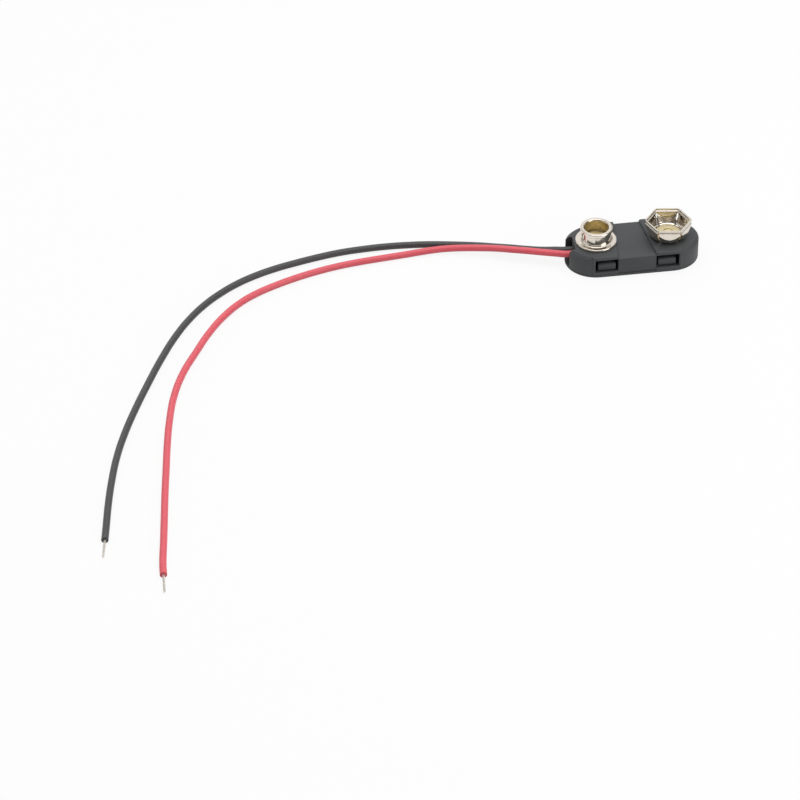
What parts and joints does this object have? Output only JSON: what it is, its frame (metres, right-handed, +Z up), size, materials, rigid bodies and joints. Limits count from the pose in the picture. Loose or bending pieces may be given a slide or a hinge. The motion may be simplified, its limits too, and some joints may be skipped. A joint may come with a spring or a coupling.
{
  "type": "9V battery snap",
  "caption": "Hard-shell battery snap with a hollow stud and a leaf-spring socket riveted to a black housing, and black and red leads with bare tinned ends.",
  "frame": {"origin": "middle of the cover's underside, between the two terminals", "axes": "+X along the housing from the stud to the socket, +Z up through the terminals; the leads leave at the -X end"},
  "size_m": [0.1113, 0.0883, 0.0072],
  "materials": {
    "housing_abs": "moulded, satin",
    "nickel_plate": "bright nickel plate",
    "rivet_brass": "bright",
    "tinned_metal": "tinned",
    "black_pvc": "extruded, satin",
    "red_pvc": "extruded, satin"
  },
  "bodies": {
    "root": {"top_housing": "housing_abs", "bottom_cover": "housing_abs", "male_stud": "nickel_plate", "male_base_washer": "nickel_plate", "male_rivet": "rivet_brass", "male_solder_tag": "tinned_metal", "female_socket": "nickel_plate", "female_rivet": "rivet_brass", "female_solder_tag": "tinned_metal", "black_lead": "black_pvc", "red_lead": "red_pvc", "black_lead_tip": "tinned_metal", "red_lead_tip": "tinned_metal", "black_inner_end": "tinned_metal", "red_inner_end": "tinned_metal", "black_solder_joint": "tinned_metal", "red_solder_joint": "tinned_metal"}
  },
  "joints": []
}
